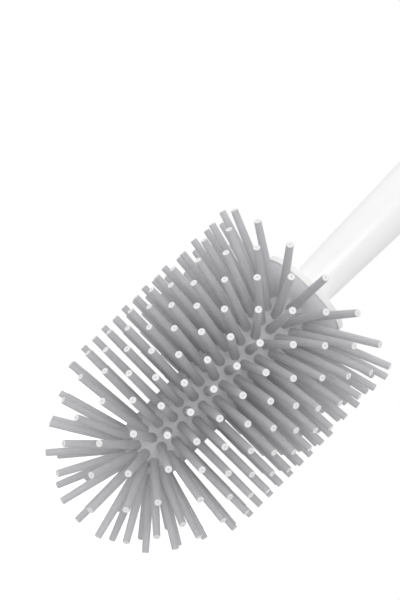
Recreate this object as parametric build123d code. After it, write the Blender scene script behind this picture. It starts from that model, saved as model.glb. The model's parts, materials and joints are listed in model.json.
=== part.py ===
"""Toilet brush: a rubber bristle head that screws onto a hollow tapered handle.

The brush stands on the axis with its nose down, and the end of the lowest bristle is at the origin.
Every other ring has a bristle that points along -Y.
"""
import os
from math import atan, cos, degrees, pi, radians, sin, sqrt

from build123d import *

# Bristles
HEAD_RADIUS = 38.0  # axis to the ends of the square bristles
LEAN_RADIUS = 37.5  # axis to the ends of the leaning bristles
NOSE_REACH = 34.0  # centre of the nose to the ends of its bristles
BRISTLE_ROOT = 1.6  # radius where a bristle leaves the sleeve
BRISTLE_TIP = 1.02  # radius of its flat end
BRISTLE_SIDES = 5  # flat sides that stand for the round one
BRISTLE_SINK = 1.0  # how deep a bristle starts inside the sleeve's wall

# Rings of bristles: each ring is turned by half a step from the one before it
RING_SIZE = 17  # bristles in a ring on the shaft
RING_PITCH = 4.51
FRONT_RINGS = 1  # lean towards the nose
SQUARE_RINGS = 9  # stand square to the axis
BACK_RINGS = 4  # lean towards the handle
LEAN_STEP = 4.1  # degrees from one leaning ring to the next
NOSE_RINGS = ((17, 15.0), (13, 30.0), (9, 48.0), (5, 67.0), (1, 90.0))  # bristles, degrees forward

# Sleeve
SLEEVE_RADIUS = 10.8  # axis to the flat lands that carry the bristles
LAND_STEP = 0.2  # how far the lands stand proud of the neck
SLEEVE_WALL = 2.2
NECK_LENGTH = 7.5  # last ring to the face of the flange
NECK_FLARE = 4.0  # slope from the neck to the facing
FACING_EDGE = 1.3  # flat ring of the facing, outside the flare
FACING_THICKNESS = 0.9

# Core, flange and stud
SLEEVE_FIT = 0.1  # gap between the core and the sleeve
FLANGE_LIP = 0.3  # thickness of the flange outside the facing
FLANGE_THICKNESS = 2.1
STUD_RADIUS = 4.0  # at the root of the thread
STUD_LENGTH = 13.5
STUD_CHAMFER = 0.8

# Seal
SEAL_THICKNESS = 1.5
SEAL_WIDTH = 1.3
SEAL_FIT = 0.2  # gap round the seal

# Handle
HANDLE_LENGTH = 253.5
HANDLE_FOOT_RADIUS = 7.1
HANDLE_TOP_RADIUS = 15.0
HANDLE_WALL = 2.2  # at the thinnest
HOLLOW_STEPS = 3  # the hollow widens in steps
SOCKET_RADIUS = 4.85  # at the root of the inner thread
SOCKET_SPARE = 1.5  # room above the stud
WEB_THICKNESS = 3.0  # closes the top of the socket

# End cap
CAP_RISE = 7.0  # top edge of the handle to the top of the cap
CAP_CHAMFER = 3.0
CAP_WALL = 3.0
SPIGOT_LENGTH = 10.0
SPIGOT_WALL = 1.8
SPIGOT_FIT = 0.15  # gap round the spigot

# The first bristle of a ring, or the gap before it, faces this way
FRONT = (0, -1, 0)

# Levels along the axis
SHAFT_RINGS = FRONT_RINGS + SQUARE_RINGS + BACK_RINGS
NOSE_Z = NOSE_REACH
SHAFT_TOP_Z = NOSE_Z + SHAFT_RINGS * RING_PITCH
FLANGE_Z = SHAFT_TOP_Z - RING_PITCH / 2 + NECK_LENGTH
FACING_TOP_Z = FLANGE_Z + FACING_THICKNESS
HANDLE_Z = FLANGE_Z + FLANGE_THICKNESS
HANDLE_TOP_Z = HANDLE_Z + HANDLE_LENGTH

# Radii that follow from others
NECK_RADIUS = SLEEVE_RADIUS - LAND_STEP
FLARE_RADIUS = NECK_RADIUS + NECK_FLARE
FACING_RADIUS = FLARE_RADIUS + FACING_EDGE
FLANGE_SEAT_RADIUS = FACING_RADIUS + SLEEVE_FIT
FLANGE_RADIUS = FLANGE_SEAT_RADIUS + FLANGE_LIP
BORE_RADIUS = SLEEVE_RADIUS - SLEEVE_WALL
CORE_RADIUS = BORE_RADIUS - SLEEVE_FIT
SEAL_INNER = STUD_RADIUS + SEAL_FIT
SEAL_OUTER = SEAL_INNER + SEAL_WIDTH
CAP_SEAT_RADIUS = HANDLE_TOP_RADIUS - HANDLE_WALL
SPIGOT_RADIUS = CAP_SEAT_RADIUS - SPIGOT_FIT


def spin(*corners):
    """Turn an outline, given by its corners as radius and height, round the axis."""
    return revolve(Plane.XZ * make_face(Polyline(*corners, close=True)), Axis.Z)


def cylinder(radius, bottom_z, top_z):
    return extrude(Pos(0, 0, bottom_z) * Circle(radius), top_z - bottom_z)


def shaft_turn(ring):
    """Turn of a ring on the shaft: every other ring stands half a step round."""
    return 180 / RING_SIZE if ring % 2 == 0 else 0


def nose_turn(ring):
    """Turn of a ring on the nose, which goes on with the order of the shaft's rings."""
    return 180 / NOSE_RINGS[ring][0] if ring % 2 else 0


def ring_lean(ring):
    """Lean of a ring on the shaft in degrees, forwards below zero and backwards above it."""
    last_square = FRONT_RINGS + SQUARE_RINGS - 1
    return LEAN_STEP * (min(ring - FRONT_RINGS, 0) + max(ring - last_square, 0))


def bristle(length):
    """One bristle along Z, with its root in the sleeve's wall at the origin and the section of a round one."""
    corner = sqrt(2 * pi / (BRISTLE_SIDES * sin(2 * pi / BRISTLE_SIDES)))
    taper = degrees(atan((BRISTLE_ROOT - BRISTLE_TIP) * corner * cos(pi / BRISTLE_SIDES) / length))
    return extrude(RegularPolygon(BRISTLE_ROOT * corner, BRISTLE_SIDES), length, taper=taper)


def ring_of_bristles(count, turn, radius, height, lean, length):
    """A ring of bristles whose roots lie at one radius and height on the sleeve."""
    stem = bristle(length + BRISTLE_SINK)
    ring = []
    for step in range(count):
        angle = radians(turn + 360 * step / count - 90)
        slope = radians(lean)
        along = Vector(cos(angle) * cos(slope), sin(angle) * cos(slope), sin(slope))
        root = Vector(radius * cos(angle), radius * sin(angle), height)
        seat = Plane(root - along * BRISTLE_SINK, x_dir=(-sin(angle), cos(angle), 0), z_dir=along)
        ring.append(seat * stem)
    return ring


def shaft_bristles():
    """Rings along the shaft: square in the middle, leaning out towards both ends."""
    bristles = []
    for ring in range(SHAFT_RINGS):
        lean = ring_lean(ring)
        reach = HEAD_RADIUS if lean == 0 else LEAN_RADIUS
        length = (reach - SLEEVE_RADIUS) / cos(radians(lean))
        height = NOSE_Z + (ring + 0.5) * RING_PITCH
        bristles += ring_of_bristles(RING_SIZE, shaft_turn(ring), SLEEVE_RADIUS, height, lean, length)
    return bristles


def nose_bristles():
    """Rings on the nose, each bristle pointing away from the nose's centre."""
    bristles = []
    for ring, (count, angle) in enumerate(NOSE_RINGS):
        radius = SLEEVE_RADIUS * cos(radians(angle))
        height = NOSE_Z - SLEEVE_RADIUS * sin(radians(angle))
        length = NOSE_REACH - SLEEVE_RADIUS
        bristles += ring_of_bristles(count, nose_turn(ring), radius, height, -angle, length)
    return bristles


def land_ring(count, turn, radius, from_z, to_z, taper=0.0):
    """Flat-sided ring of the sleeve, which carries the bristles."""
    seat = Plane((0, 0, from_z), x_dir=FRONT, z_dir=(0, 0, to_z - from_z))
    outline = RegularPolygon(radius, count, major_radius=False, rotation=turn + 180 / count)
    return seat * extrude(outline, abs(to_z - from_z), taper=taper)


def nose_edge(upper, lower):
    """Radius and height of the edge where the lands at two angles on the nose meet."""
    middle = radians((upper + lower) / 2)
    corner = SLEEVE_RADIUS / cos(radians((lower - upper) / 2))
    return corner * cos(middle), NOSE_Z - corner * sin(middle)


def nose_lands():
    """Tapered rings that follow the round of the nose. The last bristle stands on the lowest one's end."""
    angles = [angle for count, angle in NOSE_RINGS]
    lands = []
    for ring, (count, angle) in enumerate(NOSE_RINGS[:-1]):
        upper = angles[ring - 1] if ring else 0.0
        radius, top_z = nose_edge(upper, angle)
        bottom_z = nose_edge(angle, angles[ring + 1])[1]
        lands.append(land_ring(count, nose_turn(ring), radius, top_z, bottom_z, angle))
    return lands


def shaft_lands():
    """Straight prism from the nose to the neck: every other ring stands on its sides, the rest on its edges."""
    bottom_z = nose_edge(0.0, NOSE_RINGS[0][1])[1]
    return land_ring(RING_SIZE, 0, SLEEVE_RADIUS, bottom_z, SHAFT_TOP_Z)


def sleeve_neck():
    """Plain stretch above the last ring, which flares out to the facing that covers the flange."""
    return spin(
        (0, SHAFT_TOP_Z),
        (NECK_RADIUS, SHAFT_TOP_Z),
        (NECK_RADIUS, FLANGE_Z - NECK_FLARE),
        (FLARE_RADIUS, FLANGE_Z),
        (FACING_RADIUS, FLANGE_Z),
        (FACING_RADIUS, FACING_TOP_Z),
        (0, FACING_TOP_Z),
    )


def bristle_sleeve():
    bore = cylinder(BORE_RADIUS, NOSE_Z, FACING_TOP_Z)
    blank = sleeve_neck().fuse(shaft_lands(), *nose_lands()) - bore
    return blank.fuse(*shaft_bristles(), *nose_bristles())


def head_core():
    """Rod, flange with a shallow seat for the facing, and the stud that screws into the handle."""
    flange = cylinder(FLANGE_RADIUS, FLANGE_Z, HANDLE_Z)
    flange -= cylinder(FLANGE_SEAT_RADIUS, FLANGE_Z, FACING_TOP_Z)
    stud = cylinder(STUD_RADIUS, HANDLE_Z, HANDLE_Z + STUD_LENGTH)
    stud = chamfer(stud.edges().sort_by(Axis.Z)[-1], STUD_CHAMFER)
    rod = cylinder(CORE_RADIUS, NOSE_Z + SLEEVE_FIT, FACING_TOP_Z)
    return rod + flange + stud


def seal_ring():
    seal_top_z = HANDLE_Z + SEAL_THICKNESS
    return cylinder(SEAL_OUTER, HANDLE_Z, seal_top_z) - cylinder(SEAL_INNER, HANDLE_Z, seal_top_z)


def handle_radius(height):
    """Outer radius of the handle at a height above its foot."""
    return HANDLE_FOOT_RADIUS + (HANDLE_TOP_RADIUS - HANDLE_FOOT_RADIUS) * height / HANDLE_LENGTH


def handle_shell():
    """Hollow cone with the socket in its foot and a seat for the cap in its open top."""
    socket_top = STUD_LENGTH + SOCKET_SPARE
    hollow_foot = socket_top + WEB_THICKNESS
    seat_foot = HANDLE_LENGTH - SPIGOT_LENGTH - SPIGOT_FIT
    shell = spin((0, 0), (HANDLE_FOOT_RADIUS, 0), (HANDLE_TOP_RADIUS, HANDLE_LENGTH), (0, HANDLE_LENGTH))
    shell -= cylinder(SEAL_OUTER + SEAL_FIT, 0, SEAL_THICKNESS + SEAL_FIT)
    shell -= cylinder(SOCKET_RADIUS, 0, socket_top)
    for step in range(HOLLOW_STEPS):
        foot = hollow_foot + (seat_foot - hollow_foot) * step / HOLLOW_STEPS
        shell -= cylinder(handle_radius(foot) - HANDLE_WALL, foot, seat_foot)
    shell -= cylinder(CAP_SEAT_RADIUS, seat_foot, HANDLE_LENGTH)
    return Pos(0, 0, HANDLE_Z) * shell


def end_cap():
    """Cap with a bevelled rim on the handle's top edge, and a hollow spigot in the handle's seat."""
    cap = cylinder(HANDLE_TOP_RADIUS, 0, CAP_RISE)
    cap = chamfer(cap.edges().sort_by(Axis.Z)[-1], CAP_CHAMFER)
    cap += cylinder(SPIGOT_RADIUS, -SPIGOT_LENGTH, 0)
    cap -= cylinder(SPIGOT_RADIUS - SPIGOT_WALL, -SPIGOT_LENGTH, CAP_RISE - CAP_WALL)
    return Pos(0, 0, HANDLE_TOP_Z) * cap


PIECES = {
    "bristle_sleeve": bristle_sleeve,
    "head_core": head_core,
    "seal_ring": seal_ring,
    "handle_shell": handle_shell,
    "end_cap": end_cap,
}

os.makedirs("parts", exist_ok=True)
for name, make in PIECES.items():
    export_step(make(), f"parts/{name}.step")
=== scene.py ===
"""Toilet brush with a round head of rubber bristles on a tapered white handle.

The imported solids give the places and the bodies. Every piece here is a surface worked out with numpy
that stands for one of the solids, rides on its body and carries a finish of its own.
"""
import json
from math import cos, pi, radians, sin

import bpy
import numpy as np
from bpy.props import FloatProperty, FloatVectorProperty, IntProperty, PointerProperty
from bpy.types import Operator, Panel, PropertyGroup
from mathutils import Matrix, Vector


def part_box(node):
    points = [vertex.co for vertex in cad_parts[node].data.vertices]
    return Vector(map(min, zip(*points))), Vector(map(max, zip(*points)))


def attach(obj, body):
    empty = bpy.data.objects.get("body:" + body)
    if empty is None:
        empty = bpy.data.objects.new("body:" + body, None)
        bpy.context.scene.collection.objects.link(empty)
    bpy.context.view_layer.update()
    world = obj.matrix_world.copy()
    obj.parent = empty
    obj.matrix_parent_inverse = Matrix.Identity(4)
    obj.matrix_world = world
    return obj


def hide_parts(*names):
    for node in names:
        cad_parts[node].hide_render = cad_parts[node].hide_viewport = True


bl_info = {
    "name": "Toilet brush",
    "version": (1, 0, 0),
    "blender": (4, 5, 0),
    "location": "3D View > Sidebar > Brush",
    "description": "Makes a toilet brush with rubber bristles, a screw-on head and a tapered handle",
    "category": "Object",
}

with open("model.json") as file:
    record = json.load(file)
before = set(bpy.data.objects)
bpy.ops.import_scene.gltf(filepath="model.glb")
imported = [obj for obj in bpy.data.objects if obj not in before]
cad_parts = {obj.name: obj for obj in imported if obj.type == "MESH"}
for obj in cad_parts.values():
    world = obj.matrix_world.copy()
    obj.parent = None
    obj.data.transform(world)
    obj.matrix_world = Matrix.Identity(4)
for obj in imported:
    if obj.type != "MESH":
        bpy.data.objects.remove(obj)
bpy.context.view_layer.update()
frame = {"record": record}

MM = 0.001

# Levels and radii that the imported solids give
SLEEVE_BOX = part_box("bristle_sleeve")
CORE_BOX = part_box("head_core")
SEAL_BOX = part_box("seal_ring")
HANDLE_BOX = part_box("handle_shell")
CAP_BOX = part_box("end_cap")
HEAD_RADIUS = -SLEEVE_BOX[0].y
CORE_Z = CORE_BOX[0].z
FLANGE_RADIUS = CORE_BOX[1].x
STUD_TOP_Z = CORE_BOX[1].z
SEAL_Z = SEAL_BOX[0].z
SEAL_TOP_Z = SEAL_BOX[1].z
SEAL_OUTER = SEAL_BOX[1].x
HANDLE_Z = HANDLE_BOX[0].z
HANDLE_TOP_Z = HANDLE_BOX[1].z
HANDLE_TOP_RADIUS = HANDLE_BOX[1].x
SPIGOT_Z = CAP_BOX[0].z
CAP_TOP_Z = CAP_BOX[1].z

# How far down the head comes as it is unscrewed, which is where the floor lies
JOINTS = {joint["name"]: joint for joint in frame["record"]["behaviour"]["joints"]}
HEAD_TRAVEL = JOINTS["head_out"]["range_m"][1]


# Sizes and colours that a user may change


def length(name, description, millimetres):
    """A length in metres, with its default in millimetres."""
    return FloatProperty(
        name=name, description=description, default=millimetres * MM, unit="LENGTH", precision=5
    )


def angle(name, description, degrees):
    """An angle in radians, with its default in degrees."""
    return FloatProperty(name=name, description=description, default=radians(degrees), unit="ROTATION")


def power(name, description, watts):
    """The power of a lamp, in watts."""
    return FloatProperty(name=name, description=description, default=watts, unit="POWER")


def count(name, description, number):
    """A number of things, one or more."""
    return IntProperty(name=name, description=description, default=number, min=1)


def colour(name, description, values):
    """A colour as red, green and blue from 0 to 1."""
    return FloatVectorProperty(
        name=name, description=description, default=values, size=3, subtype="COLOR", min=0.0, max=1.0
    )


class BristleSizes(PropertyGroup):
    """Sizes of the bristles and of the rings that they stand in."""

    reach: length("Reach", "Axis to the ends of the square bristles", HEAD_RADIUS / MM)
    lean_reach: length("Leaning reach", "Axis to the ends of the leaning bristles", 37.5)
    nose_reach: length("Nose reach", "Centre of the nose to the ends of its bristles", 34.0)
    root: length("Root radius", "Radius of a bristle above its foot", 1.5)
    tip: length("End radius", "Radius of a bristle at its flat end", 1.1)
    foot: length("Foot", "How far the foot of a bristle spreads into the sleeve", 0.2)
    bevel: length("End bevel", "Width of the bevel round the end of a bristle", 0.14)
    pit: length("Pit radius", "Radius of the pit in the end of a bristle", 0.34)
    pit_depth: length("Pit depth", "Depth of the pit in the end of a bristle", 0.12)
    pitch: length("Ring pitch", "Distance from ring to ring along the axis", 4.51)
    lean: angle("Lean step", "Lean from one leaning ring to the next", 4.1)
    ring: count("Bristles in a ring", "Bristles in each ring on the shaft", 17)
    front: count("Front rings", "Rings on the shaft that lean towards the nose", 1)
    square: count("Square rings", "Rings that stand square to the axis", 9)
    back: count("Back rings", "Rings that lean towards the handle", 4)


class HeadSizes(PropertyGroup):
    """Sizes of the sleeve, the core with its flange and stud, and the seal."""

    sleeve: length("Sleeve radius", "Radius of the sleeve and of its round nose", 10.8)
    bore: length("Bore radius", "Radius of the hole for the core", 8.6)
    core: length("Core radius", "Radius of the rod in the sleeve", 8.5)
    flare: length("Flare", "Height of the slope between the sleeve and the edge of the facing", 5.1)
    flare_root: length("Flare root", "Radius of the fillet between the sleeve and the flare", 3.0)
    facing: length("Facing radius", "Radius of the soft facing under the flange", 15.75)
    parting: length("Parting line", "Gap between the facing and the lip of the flange", 0.3)
    facing_depth: length("Facing thickness", "Thickness of the soft facing", 0.9)
    flange: length("Flange thickness", "Thickness of the flange with its facing", 2.1)
    rim: length("Flange edge", "Radius of the flange's rounded edge", 0.6)
    stud: length("Stud radius", "Radius of the stud at the root of its thread", 4.0)
    crest: length("Thread height", "Height of the thread on the stud and in the socket", 0.62)
    lead: length("Thread lead", "Travel of the head in one turn", 4.0)
    seal: length("Seal bore", "Inner radius of the seal", 4.2)


class HandleSizes(PropertyGroup):
    """Sizes of the handle and of its cap."""

    foot: length("Foot radius", "Radius of the handle where it meets the flange", 7.1)
    wall: length("Wall", "Thickness of the handle's wall", 2.2)
    socket: length("Socket radius", "Radius of the socket at the root of its thread", 4.85)
    socket_depth: length("Socket depth", "Depth of the socket in the handle's foot", 15.0)
    recess: length("Seal clearance", "Room round the seal and above it", 0.2)
    edge: length("Edge", "Radius of the handle's rounded edges", 0.35)
    spigot: length("Spigot radius", "Radius of the cap's spigot in the handle", 12.65)
    dome: length("Cap edge", "Radius of the cap's rounded rim", 3.0)
    crown: length("Cap crown", "Rise of the cap's top from its rim to its middle", 0.5)


class Colours(PropertyGroup):
    """Colours of the finishes."""

    rubber: colour("Rubber", "Grey of the bristles and their sleeve", (0.56, 0.556, 0.573))
    # Painted light: the flare and the facing are painted this lighter grey than the rubber they are moulded
    # with, in place of light that falls on them from below
    facing: colour("Facing", "Lighter grey of the flare and of the facing", (0.88, 0.873, 0.895))
    ends: colour("Bristle ends", "White of the bristles' end faces", (0.85, 0.85, 0.85))
    plastic: colour("White plastic", "White of the flange, handle and cap", (0.93, 0.93, 0.93))
    seal: colour("Seal", "Dark grey of the seal", (0.12, 0.12, 0.13))


class StageSizes(PropertyGroup):
    """The camera, the lamps and the floor."""

    place: FloatVectorProperty(
        name="Camera", description="Place of the camera", subtype="TRANSLATION", unit="LENGTH",
        default=(-6.385 * MM, -257.054 * MM, 46.444 * MM),
    )
    aim: FloatVectorProperty(
        name="Camera direction", description="Direction in which the camera looks", subtype="DIRECTION",
        default=(0.0061, 0.99972, 0.02284),
    )
    roll: angle("Camera roll", "Turn of the camera round its own direction", 45.12)
    lens: FloatProperty(
        name="Lens", description="Focal length on a 36 mm sensor", default=47.79, unit="CAMERA"
    )
    shift: FloatVectorProperty(
        name="Shift", description="Shift of the picture, in parts of its long side", size=2,
        default=(0.03, 0.1583),
    )
    front_lamp: power("Front lamp", "Soft lamp beside the camera", 3.0)
    side_lamp: power("Side lamp", "Large soft lamp over the left side of the head", 2.1)
    back_lamp: power("Back lamp", "Soft lamp behind the brush", 2.2)
    ambient: FloatProperty(name="Ambient", description="Light that comes from all round", default=0.67)
    floor: length("Floor radius", "Radius of the floor", 2500.0)


class BrushSettings(PropertyGroup):
    """All that a user may change."""

    bristles: PointerProperty(type=BristleSizes)
    head: PointerProperty(type=HeadSizes)
    handle: PointerProperty(type=HandleSizes)
    colours: PointerProperty(type=Colours)
    stage: PointerProperty(type=StageSizes)


# Surfaces

ROUND = 96  # points round a turned piece
CORNER_STEPS = 6  # points on a rounded corner
AXIS_GAP = 0.2 * MM  # an outline starts and ends this far from the axis
SHARP_EDGE = radians(35)  # edges over this angle aren't smoothed

# Roundings of an outline's corners
SHARP = 0.0
CRISP = 0.1 * MM
FINE = 0.2 * MM
SOFT = 0.5 * MM
FULL = 1.0 * MM


def tube_faces(tubes, rows, columns):
    """Quads of several tubes, each a grid of rows by columns that is closed round its columns."""
    start = (np.arange(tubes) * rows * columns)[:, None, None]
    row = (np.arange(rows - 1) * columns)[None, :, None]
    here = np.arange(columns)[None, None, :]
    there = (here + 1) % columns
    low = start + row
    quads = np.stack([low + here, low + there, low + columns + there, low + columns + here], axis=-1)
    return quads.reshape(-1, 4)


def end_faces(tubes, rows, columns, row, flip):
    """One flat face for each tube, over the points of one of its rows."""
    ring = np.arange(columns)[::-1] if flip else np.arange(columns)
    return (np.arange(tubes) * rows * columns)[:, None] + row * columns + ring[None, :]


def closed_faces(tubes, rows, columns):
    """Faces of several tubes with a flat face at both ends."""
    faces = tube_faces(tubes, rows, columns).tolist()
    faces += end_faces(tubes, rows, columns, 0, True).tolist()
    faces += end_faces(tubes, rows, columns, rows - 1, False).tolist()
    return faces


def rounded(corners):
    """Outline through corners given as radius, height and rounding.

    A corner gives way to a curve that leaves each side at rounding / tan(half the corner's angle) from the
    corner: its points are the two tangent points and the corner, blended as (1-t)^2, t^2 and 2t(1-t).
    """
    corners = np.asarray(corners, float)
    points = corners[:, :2]
    roundings = corners[1:-1, 2]
    line = [points[:1]]
    part = np.linspace(0, 1, CORNER_STEPS)[:, None]
    for before, corner, after, rounding in zip(points, points[1:], points[2:], roundings):
        if rounding == SHARP:
            line.append(corner[None])
            continue
        back = before - corner
        back = back / np.hypot(*back)
        on = after - corner
        on = on / np.hypot(*on)
        half = np.arccos(np.clip(back @ on, -1, 1)) / 2
        start = corner + back * rounding / np.tan(half)
        end = corner + on * rounding / np.tan(half)
        line.append(start * (1 - part) ** 2 + corner * 2 * part * (1 - part) + end * part**2)
    line.append(points[-1:])
    return np.concatenate(line)


def turned(outline):
    """Points of an outline turned round the axis.

    They are (r cos a, r sin a, z) for each radius r and height z of the outline and each angle a.
    """
    around = np.linspace(0, 2 * pi, ROUND, endpoint=False)
    radius = outline[:, :1]
    height = outline[:, 1:]
    grid = [radius * np.cos(around), radius * np.sin(around), height + 0 * around]
    return np.stack(grid, axis=-1)


def solid_of_turn(name, outline):
    """Closed piece turned from an outline that starts and ends beside the axis.

    The outline goes round the piece with the material on its left, and each of its ends gets a flat face.
    """
    return mesh_piece(name, turned(outline), closed_faces(1, len(outline), ROUND))


def ring_of_turn(name, outline):
    """Closed ring turned from a closed outline: its last row of quads joins the first row again."""
    rows = len(outline)
    faces = tube_faces(1, rows + 1, ROUND) % (rows * ROUND)
    return mesh_piece(name, turned(outline), faces.tolist())


def mesh_piece(name, points, faces):
    """Object at the origin with a grid of points and these faces, smooth apart from its sharp edges."""
    mesh = bpy.data.meshes.new(name)
    mesh.from_pydata(points.reshape(-1, 3).tolist(), [], faces)
    if mesh.validate():
        raise RuntimeError(f"the faces of {name} are not sound")
    mesh.polygons.foreach_set("use_smooth", np.ones(len(mesh.polygons), bool))
    mesh.set_sharp_from_angle(angle=SHARP_EDGE)
    mesh.update()
    piece = bpy.data.objects.new(name, mesh)
    bpy.context.scene.collection.objects.link(piece)
    return piece


def paint(piece, name, values):
    """Number for each point of a piece, which its finish reads."""
    piece.data.attributes.new(name, "FLOAT", "POINT").data.foreach_set("value", np.ravel(values))


# Bristles

BRISTLE_SIDES = 10
NOSE_RINGS = ((17, 15.0), (13, 30.0), (9, 48.0), (5, 67.0), (1, 90.0))  # bristles, degrees forward
FOOT_SINK = 0.6 * MM  # how deep a bristle's foot starts in the sleeve
FOOT_HEIGHT = 0.8 * MM  # distance from the sleeve at which its foot has narrowed to the root
PIT_FLOOR = 0.6  # radius at the bottom of the pit, in parts of the radius at its mouth
SHADE_SEED = 11
BRISTLE_SHADE = 0.12  # most that a bristle is lighter than the rubber, in parts of the way to the facing

# Place of each row of points on a bristle, and where its finish changes between them
PLACES = np.array([0.0, 0.05, 1.0, 2.0, 2.0, 3.0])
ON_BEVEL = (1.2, 1.6)
# where the end face turns to the painted shade of the pit
ON_PIT_WALL = (2.02, 2.12)


def ring_seats(number, turn, radius, height, lean, reach):
    """Roots, directions, side directions and lengths of a ring of bristles.

    Bristle i stands at the angle turn + 2 pi i / number from the front, on a circle of this radius and
    height, and leans from the square by the angle lean, up above zero.
    """
    around = turn + 2 * pi * np.arange(number) / number - pi / 2
    out = np.stack([np.cos(around), np.sin(around), 0 * around], axis=1)
    up = np.array([0.0, 0.0, 1.0])
    root = out * radius + up * height
    along = out * cos(lean) + up * sin(lean)
    side = np.cross(up, out)
    return root, along, side, np.full(number, reach)


def bristle_seats(sizes, sleeve):
    """Roots, directions, side directions and lengths of all bristles, on the shaft and on the nose."""
    nose_z = sizes.nose_reach
    last_square = sizes.front + sizes.square - 1
    seats = []
    for ring in range(sizes.front + sizes.square + sizes.back):
        lean = sizes.lean * (min(ring - sizes.front, 0) + max(ring - last_square, 0))
        reach = (sizes.lean_reach if lean else sizes.reach) - sleeve
        turn = 0.0 if ring % 2 else pi / sizes.ring
        height = nose_z + (ring + 0.5) * sizes.pitch
        seats.append(ring_seats(sizes.ring, turn, sleeve, height, lean, reach / cos(lean)))
    for ring, (number, degrees) in enumerate(NOSE_RINGS):
        forward = radians(degrees)
        turn = pi / number if ring % 2 else 0.0
        radius = sleeve * cos(forward)
        height = nose_z - sleeve * sin(forward)
        seats.append(ring_seats(number, turn, radius, height, -forward, nose_z - sleeve))
    return [np.concatenate(parts) for parts in zip(*seats)]


def bristle_rows(sizes, lengths):
    """Distance from the sleeve of every row of points on every bristle, and the radius of each row.

    A bristle spreads a little to its foot in the sleeve, tapers straight to its end, and has a bevelled
    edge there and a flat end face with a small pit in its middle. PLACES follows the same rows: it is 0 at
    the foot, 1 at the end of the taper, 2 on the end face and 3 at the bottom of the pit.
    """
    one = np.ones_like(lengths)
    distance = [
        -FOOT_SINK * one,
        FOOT_HEIGHT * one,
        lengths - sizes.bevel,
        lengths,
        lengths,
        lengths - sizes.pit_depth,
    ]
    radius = [
        sizes.root + sizes.foot,
        sizes.root,
        sizes.tip,
        sizes.tip - sizes.bevel,
        sizes.pit,
        PIT_FLOOR * sizes.pit,
    ]
    return np.stack(distance, axis=1), np.array(radius)


def bristle_points(seats, distance, radius):
    """Points of all bristles: root + along * distance + radius * (side cos a + across sin a)."""
    root, along, side, _ = seats
    across = np.cross(along, side)
    around = np.linspace(0, 2 * pi, BRISTLE_SIDES, endpoint=False)[None, :, None]
    spoke = side[:, None] * np.cos(around) + across[:, None] * np.sin(around)
    centre = root[:, None] + along[:, None] * distance[..., None]
    return centre[:, :, None] + radius[None, :, None, None] * spoke[:, None]


# Threads

THREAD_FOOT = 2.6 * MM  # foot of the handle to the start of the stud's thread
STUD_TURNS = 2.2
SOCKET_TURNS = 2.6
TURN_STEPS = 48  # points in a turn
FADE = 0.5  # turns over which a thread rises at its start and falls at its end
FADED_HEIGHT = 0.02  # height of a tooth at the thread's ends, in parts of the full height
FADED_WIDTH = 0.4  # width of a tooth there, in parts of the full width
TOOTH_WIDTH = 0.26  # half the width of a tooth, in parts of the lead

# Section of a tooth, in parts of its half width and of its height
TOOTH_ACROSS = np.array([-1.0, -0.55, -0.3, 0.3, 0.55, 1.0])
TOOTH_RISE = np.array([-0.12, 0.45, 1.0, 1.0, 0.45, -0.12])


def thread_ridge(name, wall, height, low_z, turns, lead):
    """Thread as one ridge on a round wall: a rounded tooth carried along a helix.

    At the angle a the tooth's middle is at low_z + lead * a / (2 pi). Its height rises and falls at its
    ends by the smooth step 3t^2 - 2t^3, and its foot goes into the wall a little. A height below zero
    points inwards.
    """
    steps = int(turns * TURN_STEPS) + 1
    run = np.linspace(0, turns, steps)
    swell = np.clip(np.minimum(run, turns - run) / FADE, 0.0, 1.0)
    swell = FADED_HEIGHT + (1 - FADED_HEIGHT) * swell * swell * (3 - 2 * swell)
    across = TOOTH_ACROSS * TOOTH_WIDTH * lead
    if height < 0:
        across = across[::-1]
    turn = 2 * pi * run
    radius = wall + height * TOOTH_RISE[None, :] * swell[:, None]
    width = FADED_WIDTH + (1 - FADED_WIDTH) * swell[:, None]
    level = low_z + lead * run[:, None] + across[None, :] * width
    points = np.stack([radius * np.cos(turn)[:, None], radius * np.sin(turn)[:, None], level], axis=-1)
    columns = len(across)
    faces = tube_faces(1, steps, columns)[:, ::-1].tolist()
    faces += end_faces(1, steps, columns, 0, False).tolist()
    faces += end_faces(1, steps, columns, steps - 1, True).tolist()
    return mesh_piece(name, points, faces)


# Finishes


class Wire:
    """A socket of a node tree. Sums, differences and products of wires and numbers add Math nodes."""

    def __init__(self, finish, socket):
        self.finish = finish
        self.socket = socket

    def math(self, operation, first, second):
        """Math node of an operation on two wires or numbers."""
        return self.finish.add("ShaderNodeMath", {"operation": operation}, {0: first, 1: second})

    def __add__(self, other):
        return self.math("ADD", self, other)

    def __radd__(self, other):
        return self.math("ADD", other, self)

    def __sub__(self, other):
        return self.math("SUBTRACT", self, other)

    def __rsub__(self, other):
        return self.math("SUBTRACT", other, self)

    def __mul__(self, other):
        return self.math("MULTIPLY", self, other)

    def __rmul__(self, other):
        return self.math("MULTIPLY", other, self)

    def between(self, low, high):
        """Smooth step from 0 at low to 1 at high."""
        settings = {"interpolation_type": "SMOOTHSTEP"}
        inputs = {"Value": self, "From Min": low, "From Max": high}
        return self.finish.add("ShaderNodeMapRange", settings, inputs)


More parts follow.
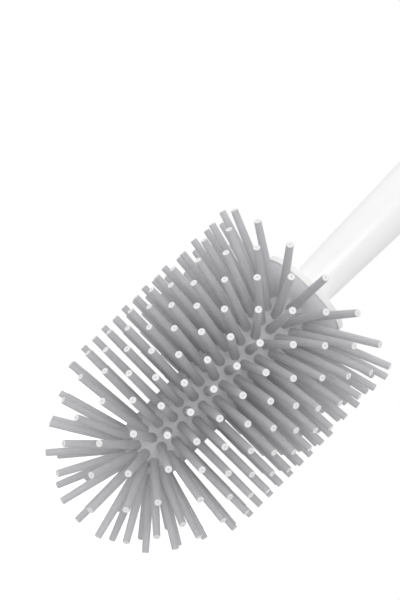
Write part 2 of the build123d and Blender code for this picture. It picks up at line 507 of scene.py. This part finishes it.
class Finish:
    """Node tree of a material or of the world, built from nodes and wires."""

    def __init__(self, owner):
        owner.use_nodes = True
        self.tree = owner.node_tree
        self.tree.nodes.clear()

    def add(self, kind, settings=None, inputs=None, output=0):
        """Add a node of a type, make its settings, then fill its sockets with values or wires."""
        node = self.tree.nodes.new(kind)
        for name, value in (settings or {}).items():
            setattr(node, name, value)
        for name, value in (inputs or {}).items():
            if isinstance(value, Wire):
                self.tree.links.new(value.socket, node.inputs[name])
            else:
                node.inputs[name].default_value = value
        return Wire(self, node.outputs[output]) if len(node.outputs) else node

    def place(self):
        """Place on the piece, in metres."""
        return self.add("ShaderNodeTexCoord", output="Object")

    def number(self, name):
        """Number that was painted on the piece's points."""
        return self.add("ShaderNodeAttribute", {"attribute_name": name}, output="Fac")

    def noise(self, scale, detail, stretch=(1.0, 1.0, 1.0)):
        """Noise between 0 and 1, with about this many grains in a metre."""
        where = self.add("ShaderNodeMapping", inputs={"Vector": self.place(), "Scale": stretch})
        inputs = {"Vector": where, "Scale": scale, "Detail": detail}
        return self.add("ShaderNodeTexNoise", inputs=inputs)

    def blend(self, factor, first, second):
        """Colour that goes from the first to the second."""
        inputs = {0: factor, 6: first, 7: second}
        return self.add("ShaderNodeMix", {"data_type": "RGBA"}, inputs, output=2)

    def shades(self, tone, values, dark, light):
        """Colour that goes from a darker to a lighter shade of one colour."""
        return self.blend(tone, tinted(values, dark), tinted(values, light))

    def bump(self, height, depth, strength):
        """Normal of a relief whose height runs from 0 to 1 over a depth in metres."""
        inputs = {"Height": height, "Distance": depth, "Strength": strength}
        return self.add("ShaderNodeBump", inputs=inputs)

    def surface(self, inputs):
        """Shader of a solid surface, with these values and wires, as the material's output."""
        shader = self.add("ShaderNodeBsdfPrincipled", inputs=inputs)
        self.add("ShaderNodeOutputMaterial", inputs={"Surface": shader})


WHITE = (1.0, 1.0, 1.0, 1.0)
RUBBER = "grey_rubber"


def tinted(values, factor):
    """A colour made lighter or darker, with the alpha that a socket needs."""
    return tuple(min(value * factor, 1.0) for value in values) + (1.0,)


def material(name):
    """A new material and the finish that its nodes are added to."""
    made = bpy.data.materials.new(name)
    return made, Finish(made)


def rubber_finish(colours):
    """Matt grey rubber with a fine grain, slightly uneven from bristle to bristle, and white bristle ends.
    The sleeve and the facing are painted lighter, which is painted light, and the pit in each end is painted
    grey, which is painted shade.
    """
    made, finish = material(RUBBER)
    mottle = finish.noise(scale=420.0, detail=4.0)
    grain = finish.noise(scale=5200.0, detail=2.0)
    shade = finish.number("shade")
    place = finish.number("place")
    tone = 0.65 * mottle + 0.35 * grain
    rubber = finish.shades(tone, colours.rubber, dark=0.9, light=1.1)
    # Painted light: the facing's lighter grey, which the sleeve is blended towards
    facing = finish.shades(tone, colours.facing, dark=0.95, light=1.05)
    # The shade number mixes a random lightness on each bristle with painted light on the sleeve and the flare
    grey = finish.blend(shade, rubber, facing)
    white = finish.shades(grain, colours.ends, dark=0.96, light=1.03)
    end = place.between(*ON_BEVEL)
    # Painted shade: the pit in each white end is painted grey
    pit = place.between(*ON_PIT_WALL)
    end_and_painted_pit_shade = finish.blend(pit, white, tinted(colours.facing, factor=0.8))
    finish.surface({
        "Base Color": finish.blend(end, grey, end_and_painted_pit_shade),
        "Roughness": 0.52 + 0.2 * grain - 0.1 * end,
        "Specular IOR Level": 0.35,
        "Normal": finish.bump(0.7 * grain + 0.3 * mottle, depth=0.05 * MM, strength=0.35),
    })
    return made


def plastic_finish(name, colours, roughness):
    """White moulded plastic with a faint orange peel, and a gloss that handling has made a little uneven."""
    made, finish = material(name)
    peel = finish.noise(scale=900.0, detail=1.5)
    haze = finish.noise(scale=55.0, detail=4.0, stretch=(1.0, 1.0, 0.35))
    scuff = finish.noise(scale=2600.0, detail=3.0, stretch=(1.0, 1.0, 0.12)).between(0.62, 0.8)
    finish.surface({
        "Base Color": finish.shades(haze, colours.plastic, dark=0.975, light=1.02),
        "Roughness": roughness + 0.12 * haze + 0.1 * scuff,
        "Coat Weight": 0.12,
        "Coat Roughness": 0.18,
        "Normal": finish.bump(peel + 0.15 * scuff, depth=0.02 * MM, strength=0.25),
    })
    return made


def seal_finish(colours):
    """Dark rubber of a pressed washer, with a dull bloom in patches."""
    made, finish = material("seal_rubber")
    bloom = finish.noise(scale=700.0, detail=4.0).between(0.4, 0.75)
    grain = finish.noise(scale=6000.0, detail=2.0)
    finish.surface({
        "Base Color": finish.shades(bloom, colours.seal, dark=0.9, light=1.5),
        "Roughness": 0.6 + 0.25 * bloom,
        "Normal": finish.bump(grain, depth=0.03 * MM, strength=0.4),
    })
    return made


def shared_rubber(colours):
    """The rubber of the bristles and of their sleeve, which are one moulding."""
    return bpy.data.materials.get(RUBBER) or rubber_finish(colours)


def dress(piece, finish, body, node):
    """Give a piece its finish, and let it stand for a solid and ride on its body."""
    piece.data.materials.append(finish)
    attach(piece, body)
    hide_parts(node)


# Pieces


class BRUSH_OT_bristles(Operator):
    """Make all bristles: rings along the shaft and on the round nose"""

    bl_idname = "brush.bristles"
    bl_label = "Bristles"

    def execute(self, context):
        brush = context.scene.brush
        seats = bristle_seats(brush.bristles, brush.head.sleeve)
        distance, radius = bristle_rows(brush.bristles, seats[3])
        points = bristle_points(seats, distance, radius)
        number, rows = distance.shape
        piece = mesh_piece("bristles", points, closed_faces(number, rows, BRISTLE_SIDES))
        shade = np.random.default_rng(SHADE_SEED).uniform(0, BRISTLE_SHADE, number)
        whole = np.ones((number, rows, BRISTLE_SIDES))
        paint(piece, "place", whole * PLACES[None, :, None])
        paint(piece, "shade", whole * shade[:, None, None])
        dress(piece, shared_rubber(brush.colours), "head", "bristle_sleeve")
        return {"FINISHED"}


NOSE_POLE = radians(88)  # the round of the nose starts just short of the axis
NOSE_STEPS = 24  # points from there to the shaft
# The sleeve is painted lighter than the rubber as painted light, standing in for light that reaches it
# between the bristles
SLEEVE_PAINTED_LIGHT = 0.15  # how much lighter the sleeve is than the rubber, in parts of the way to the facing


class BRUSH_OT_sleeve(Operator):
    """Make the rubber sleeve with its round nose, its neck and the facing under the flange"""

    bl_idname = "brush.sleeve"
    bl_label = "Sleeve"

    def execute(self, context):
        brush = context.scene.brush
        sizes = brush.head
        nose_z = brush.bristles.nose_reach
        facing_z = HANDLE_Z - sizes.flange
        facing_top_z = facing_z + sizes.facing_depth
        flare_z = facing_z - sizes.flare
        facing_edge = sizes.facing_depth / 3
        swing = np.linspace(NOSE_POLE, 0, NOSE_STEPS)
        nose = np.stack([sizes.sleeve * np.cos(swing), nose_z - sizes.sleeve * np.sin(swing)], axis=1)
        rest = rounded([
            (*nose[-1], SHARP),
            (sizes.sleeve, flare_z, sizes.flare_root),
            (sizes.facing, facing_z, facing_edge),
            (sizes.facing, facing_top_z, SHARP),
            (sizes.bore, facing_top_z, SHARP),
            (sizes.bore, nose_z, SHARP),
            (AXIS_GAP, nose_z, SHARP),
        ])
        outline = np.concatenate([nose, rest[1:]])
        piece = solid_of_turn("sleeve", outline)
        paint(piece, "place", np.zeros(len(piece.data.vertices)))
        # Painted light: the sleeve is painted lighter up the lower half of the flare until it is as light as
        # the facing
        painted_light_on_flare = np.clip(2.0 * (turned(outline)[..., 2] - flare_z) / sizes.flare, 0.0, 1.0)
        paint(piece, "shade", SLEEVE_PAINTED_LIGHT + (1 - SLEEVE_PAINTED_LIGHT) * painted_light_on_flare)
        dress(piece, shared_rubber(brush.colours), "head", "bristle_sleeve")
        return {"FINISHED"}


LIP_INSIDE = 0.05 * MM  # rounding of the flange's lip towards the facing
LIP_OUTSIDE = 0.12 * MM  # rounding of the lip towards the outside
STUD_TIP = 0.8 * MM  # bevel of the stud's end
STUD_TIP_EDGE = 0.3 * MM  # rounding of the bevel's corners


class BRUSH_OT_core(Operator):
    """Make the white core with its flange, and the stud with its thread"""

    bl_idname = "brush.core"
    bl_label = "Core and stud"

    def execute(self, context):
        brush = context.scene.brush
        sizes = brush.head
        facing_z = HANDLE_Z - sizes.flange
        facing_top_z = facing_z + sizes.facing_depth
        seat = sizes.facing + sizes.parting
        outline = rounded([
            (AXIS_GAP, CORE_Z, SHARP),
            (sizes.core, CORE_Z, SOFT),
            (sizes.core, facing_top_z, SHARP),
            (seat, facing_top_z, SHARP),
            (seat, facing_z, LIP_INSIDE),
            (FLANGE_RADIUS, facing_z, LIP_OUTSIDE),
            (FLANGE_RADIUS, HANDLE_Z, sizes.rim),
            (sizes.stud, HANDLE_Z, FINE),
            (sizes.stud, STUD_TOP_Z - STUD_TIP, STUD_TIP_EDGE),
            (sizes.stud - STUD_TIP, STUD_TOP_Z, STUD_TIP_EDGE),
            (AXIS_GAP, STUD_TOP_Z, SHARP),
        ])
        white = plastic_finish("core_plastic", brush.colours, roughness=0.34)
        dress(solid_of_turn("core", outline), white, "head", "head_core")
        low_z = HANDLE_Z + THREAD_FOOT
        thread = thread_ridge("stud_thread", sizes.stud, sizes.crest, low_z, STUD_TURNS, sizes.lead)
        dress(thread, white, "head", "head_core")
        return {"FINISHED"}


SEAL_EDGE = 0.3 * MM  # rounding of the seal's corners


class BRUSH_OT_seal(Operator):
    """Make the rubber seal round the root of the stud"""

    bl_idname = "brush.seal"
    bl_label = "Seal"

    def execute(self, context):
        brush = context.scene.brush
        inner = brush.head.seal
        middle_z = (SEAL_Z + SEAL_TOP_Z) / 2
        outline = rounded([
            (SEAL_OUTER, middle_z, SHARP),
            (SEAL_OUTER, SEAL_TOP_Z, SEAL_EDGE),
            (inner, SEAL_TOP_Z, SEAL_EDGE),
            (inner, SEAL_Z, SEAL_EDGE),
            (SEAL_OUTER, SEAL_Z, SEAL_EDGE),
            (SEAL_OUTER, middle_z, SHARP),
        ])
        piece = ring_of_turn("seal", outline[:-1])
        dress(piece, seal_finish(brush.colours), "seal", "seal_ring")
        return {"FINISHED"}


SOCKET_ROOF = 3.0 * MM  # web between the socket and the hollow of the handle
SPIGOT_ROOM = 0.15 * MM  # room under the spigot of the cap
SEAT_LEDGE = 0.5 * MM  # ledge that the seat of the spigot ends on


class BRUSH_OT_handle(Operator):
    """Make the hollow tapered handle, and the thread in the socket in its foot"""

    bl_idname = "brush.handle"
    bl_label = "Handle"

    def execute(self, context):
        brush = context.scene.brush
        sizes = brush.handle
        socket_z = HANDLE_Z + sizes.socket_depth
        hollow_z = socket_z + SOCKET_ROOF
        recess = SEAL_OUTER + sizes.recess
        recess_z = SEAL_TOP_Z + sizes.recess
        seat = HANDLE_TOP_RADIUS - sizes.wall
        seat_z = SPIGOT_Z - SPIGOT_ROOM
        slope = (HANDLE_TOP_RADIUS - sizes.foot) / (HANDLE_TOP_Z - HANDLE_Z)
        hollow = sizes.foot + slope * (hollow_z - HANDLE_Z) - sizes.wall
        outline = rounded([
            (AXIS_GAP, socket_z, SHARP),
            (sizes.socket, socket_z, SOFT),
            (sizes.socket, recess_z, FINE),
            (recess, recess_z, CRISP),
            (recess, HANDLE_Z, FINE),
            (sizes.foot, HANDLE_Z, sizes.edge),
            (HANDLE_TOP_RADIUS, HANDLE_TOP_Z, sizes.edge),
            (seat, HANDLE_TOP_Z, FINE),
            (seat, seat_z, SHARP),
            (seat - SEAT_LEDGE, seat_z, SHARP),
            (hollow, hollow_z, FULL),
            (AXIS_GAP, hollow_z, SHARP),
        ])
        white = plastic_finish("handle_plastic", brush.colours, roughness=0.3)
        dress(solid_of_turn("handle", outline), white, "handle", "handle_shell")
        # The socket's thread runs midway between the turns of the stud's
        lead = brush.head.lead
        low_z = HANDLE_Z + THREAD_FOOT + lead / 2
        thread = thread_ridge("socket_thread", sizes.socket, -brush.head.crest, low_z, SOCKET_TURNS, lead)
        dress(thread, white, "handle", "handle_shell")
        return {"FINISHED"}


SPIGOT_WALL = 1.8 * MM  # thickness of the spigot's wall
CAP_ROOF = 3.0 * MM  # thickness of the cap's top


class BRUSH_OT_cap(Operator):
    """Make the cap with a rounded rim that closes the top of the handle"""

    bl_idname = "brush.cap"
    bl_label = "End cap"

    def execute(self, context):
        brush = context.scene.brush
        sizes = brush.handle
        inner = sizes.spigot - SPIGOT_WALL
        roof_z = CAP_TOP_Z - CAP_ROOF
        shoulder_z = CAP_TOP_Z - sizes.crown
        outline = rounded([
            (AXIS_GAP, roof_z, SHARP),
            (inner, roof_z, SOFT),
            (inner, SPIGOT_Z, FINE),
            (sizes.spigot, SPIGOT_Z, SOFT),
            (sizes.spigot, HANDLE_TOP_Z, SHARP),
            (HANDLE_TOP_RADIUS, HANDLE_TOP_Z, sizes.edge),
            (HANDLE_TOP_RADIUS, shoulder_z, sizes.dome),
            (AXIS_GAP, CAP_TOP_Z, SHARP),
        ])
        white = plastic_finish("cap_plastic", brush.colours, roughness=0.3)
        dress(solid_of_turn("cap", outline), white, "handle", "end_cap")
        return {"FINISHED"}


# Stage

# Place of each lamp and its size across, in metres
LAMPS = {
    "front_lamp": ((-0.02, -0.9, 0.07), 0.45),
    "side_lamp": ((-0.675, -0.135, 0.63), 1.4),
    "back_lamp": ((0.02, 0.9, 0.2), 0.45),
}
LAMP_AIM = Vector((0.0, 0.0, 0.09))
FLOOR_RINGS = np.array([0.05, 0.3, 1.0])[:, None]  # in parts of the floor's radius
FLOOR_PALE = (0.8, 0.8, 0.8, 1.0)  # the floor in the light that it gives back to the brush
FLOOR_DULL = (0.4, 0.4, 0.4, 1.0)  # the part of the floor's white that takes the shadow
FLOOR_GLOW = 0.78  # strength of the part that doesn't
CAMERA_NEAR = 0.01  # nearest that the camera sees, in metres


def seen_directly(finish):
    """1 for what the camera sees, straight, in a gloss or through glass, and 0 for light on other things."""
    kinds = ("Is Camera Ray", "Is Glossy Ray", "Is Transmission Ray")
    straight, gloss, through = (finish.add("ShaderNodeLightPath", output=kind) for kind in kinds)
    return straight + gloss + through


def floor_finish():
    """White floor: dull white that takes the shadow, over a plain white that only the camera sees."""
    made, finish = material("stage_floor")
    pale = finish.add("ShaderNodeBsdfDiffuse", inputs={"Color": FLOOR_PALE})
    dull = finish.add("ShaderNodeBsdfDiffuse", inputs={"Color": FLOOR_DULL})
    glow = finish.add("ShaderNodeEmission", inputs={"Color": WHITE, "Strength": FLOOR_GLOW})
    shown = finish.add("ShaderNodeAddShader", inputs={0: dull, 1: glow})
    both = finish.add("ShaderNodeMixShader", inputs={0: seen_directly(finish), 1: pale, 2: shown})
    finish.add("ShaderNodeOutputMaterial", inputs={"Surface": both})
    return made


def make_floor(stage):
    """Round floor of flat rings, with one face in the middle.

    Its points are (r cos a, r sin a, level) for the radius r of each ring and each angle a.
    """
    around = np.linspace(0, 2 * pi, ROUND, endpoint=False)
    radius = FLOOR_RINGS * stage.floor
    level = -HEAD_TRAVEL + 0 * radius * around
    grid = np.stack([radius * np.cos(around), radius * np.sin(around), level], axis=-1)
    rows = len(FLOOR_RINGS)
    faces = tube_faces(1, rows, ROUND)[:, ::-1].tolist() + end_faces(1, rows, ROUND, 0, False).tolist()
    floor = mesh_piece("stage_floor", grid, faces)
    floor.data.materials.append(floor_finish())


def make_surround(scene, stage):
    """World that lights the brush from all round, and that the camera sees as white."""
    scene.world = bpy.data.worlds.new("surround")
    finish = Finish(scene.world)
    strength = stage.ambient + (1.0 - stage.ambient) * seen_directly(finish)
    sky = finish.add("ShaderNodeBackground", inputs={"Color": WHITE, "Strength": strength})
    finish.add("ShaderNodeOutputWorld", inputs={"Surface": sky})


def make_lamp(scene, name, place, size, watts):
    """Round lamp at a place, of this size across, that points at the head of the brush."""
    lamp = bpy.data.lights.new(name, "AREA")
    lamp.shape = "DISK"
    lamp.size = size
    lamp.energy = watts
    holder = bpy.data.objects.new(name, lamp)
    holder.location = place
    holder.rotation_euler = (LAMP_AIM - Vector(place)).to_track_quat("-Z", "Y").to_euler()
    scene.collection.objects.link(holder)


def make_camera(scene, stage):
    """Camera at its place, turned to its direction and then rolled round it."""
    lens = bpy.data.cameras.new("camera")
    lens.lens = stage.lens
    lens.shift_x, lens.shift_y = stage.shift
    lens.clip_start = CAMERA_NEAR
    camera = bpy.data.objects.new("camera", lens)
    look = Vector(stage.aim).to_track_quat("-Z", "Y").to_matrix()
    turn = look @ Matrix.Rotation(stage.roll, 3, "Z")
    camera.matrix_world = Matrix.Translation(stage.place) @ turn.to_4x4()
    scene.collection.objects.link(camera)
    scene.camera = camera


class BRUSH_OT_stage(Operator):
    """Make the floor, the lamps, the white surround and the camera"""

    bl_idname = "brush.stage"
    bl_label = "Stage"

    def execute(self, context):
        scene = context.scene
        stage = scene.brush.stage
        scene.view_settings.view_transform = "Standard"
        make_floor(stage)
        make_surround(scene, stage)
        for name, (place, size) in LAMPS.items():
            make_lamp(scene, name, place, size, getattr(stage, name))
        make_camera(scene, stage)
        return {"FINISHED"}


class BRUSH_PT_panel(Panel):
    """Sidebar panel with the sizes, the colours and the pieces"""

    bl_idname = "BRUSH_PT_panel"
    bl_label = "Toilet brush"
    bl_space_type = "VIEW_3D"
    bl_region_type = "UI"
    bl_category = "Brush"

    def draw(self, context):
        brush = context.scene.brush
        for group in (brush.bristles, brush.head, brush.handle, brush.colours, brush.stage):
            box = self.layout.box()
            for name in group.__annotations__:
                box.prop(group, name)
        for operator in OPERATORS:
            self.layout.operator(operator.bl_idname)


GROUPS = (BristleSizes, HeadSizes, HandleSizes, Colours, StageSizes, BrushSettings)
OPERATORS = (
    BRUSH_OT_bristles,
    BRUSH_OT_sleeve,
    BRUSH_OT_core,
    BRUSH_OT_seal,
    BRUSH_OT_handle,
    BRUSH_OT_cap,
    BRUSH_OT_stage,
)
CLASSES = (*GROUPS, *OPERATORS, BRUSH_PT_panel)


def register():
    """Make the classes and the settings known to Blender."""
    for kind in CLASSES:
        bpy.utils.register_class(kind)
    bpy.types.Scene.brush = PointerProperty(type=BrushSettings)


def unregister():
    """Take the settings and the classes out of Blender again."""
    del bpy.types.Scene.brush
    for kind in reversed(CLASSES):
        bpy.utils.unregister_class(kind)


def main():
    """Make the brush and its stage."""
    register()
    bpy.ops.brush.bristles()
    bpy.ops.brush.sleeve()
    bpy.ops.brush.core()
    bpy.ops.brush.seal()
    bpy.ops.brush.handle()
    bpy.ops.brush.cap()
    bpy.ops.brush.stage()


if __name__ == "__main__":
    main()
